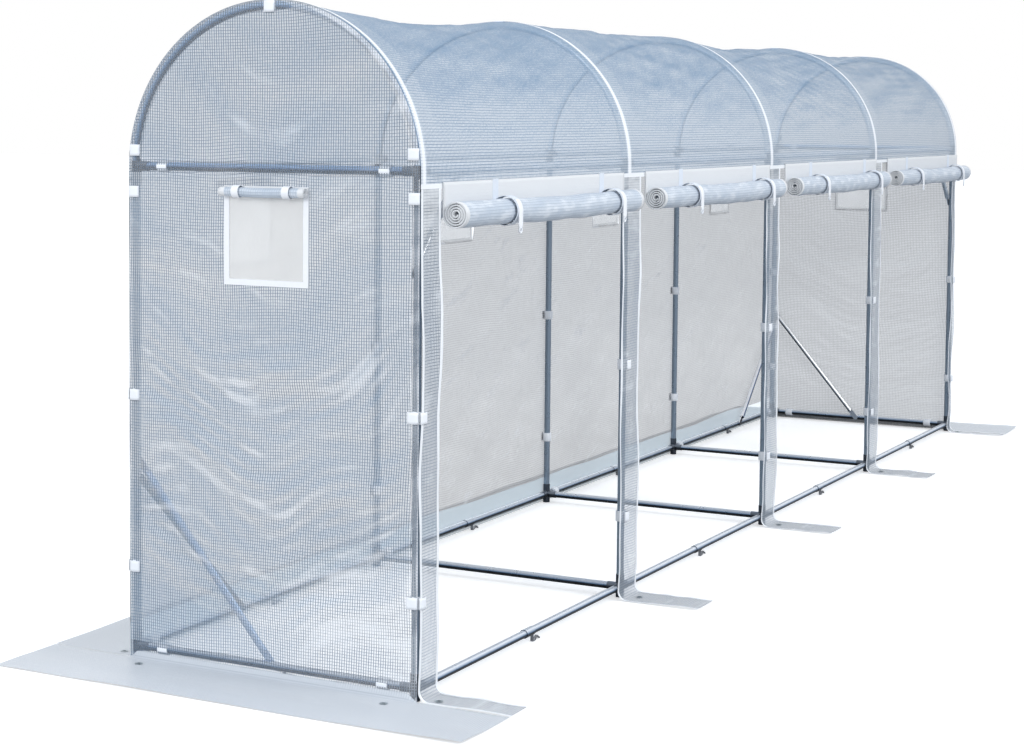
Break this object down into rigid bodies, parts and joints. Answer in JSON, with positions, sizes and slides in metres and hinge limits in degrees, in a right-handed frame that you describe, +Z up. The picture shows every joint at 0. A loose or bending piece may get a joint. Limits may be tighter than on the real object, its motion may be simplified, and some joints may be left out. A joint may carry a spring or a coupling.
{
  "type": "polytunnel greenhouse",
  "caption": "Long narrow polytunnel greenhouse: hooped steel tube frame, arched scrim film cover, gable windows, rolled-up side curtains and a ground skirt with eyelets.",
  "frame": {"origin": "on the ground under the middle of the tunnel", "axes": "+X along the tunnel from the near gable to the far gable, -Y out of the side with the curtains, +Z up"},
  "size_m": [6.576, 1.591, 2.0055],
  "materials": {
    "frame_steel": "galvanised tube, satin",
    "fitting_steel": "zinc plated, satin",
    "hook_steel": "zinc plated rod",
    "cover_film": "clear film with a woven scrim grid",
    "skirt_film": "film with a woven scrim grid, laid on the ground",
    "rolled_film": "rolled film with a woven scrim grid",
    "white_tape": "white sewn tape",
    "insect_mesh": "fine woven mesh",
    "eyelet_metal": "pressed metal"
  },
  "bodies": {
    "root": {"front_posts": "frame_steel", "back_posts": "frame_steel", "near_gable_arch": "frame_steel", "second_arch": "frame_steel", "middle_arch": "frame_steel", "fourth_arch": "frame_steel", "far_gable_arch": "frame_steel", "front_ground_rail": "frame_steel", "back_ground_rail": "frame_steel", "ground_cross_bars": "frame_steel", "front_eaves_purlin": "frame_steel", "back_eaves_purlin": "frame_steel", "near_gable_bar": "frame_steel", "far_gable_bar": "frame_steel", "near_gable_brace": "frame_steel", "far_gable_brace": "frame_steel", "back_wall_braces": "frame_steel", "knee_braces": "frame_steel", "rail_joints": "fitting_steel", "foot_fittings": "fitting_steel", "eaves_fittings": "fitting_steel", "ground_hooks": "hook_steel", "roof_cover_1": "cover_film", "roof_cover_2": "cover_film", "roof_cover_3": "cover_film", "roof_cover_4": "cover_film", "near_gable_cover": "cover_film", "far_gable_cover": "cover_film", "back_wall_cover": "cover_film", "front_strips": "cover_film", "strip_ground_flaps": "skirt_film", "near_gable_skirt": "skirt_film", "far_gable_skirt": "skirt_film", "back_skirt": "skirt_film", "curtain_1": "rolled_film", "curtain_2": "rolled_film", "curtain_3": "rolled_film", "curtain_4": "rolled_film", "window_flap_rolls": "rolled_film", "curtain_straps": "white_tape", "window_flap_straps": "white_tape", "window_hems": "white_tape", "window_screens": "insect_mesh", "eyelets": "eyelet_metal"}
  },
  "joints": []
}
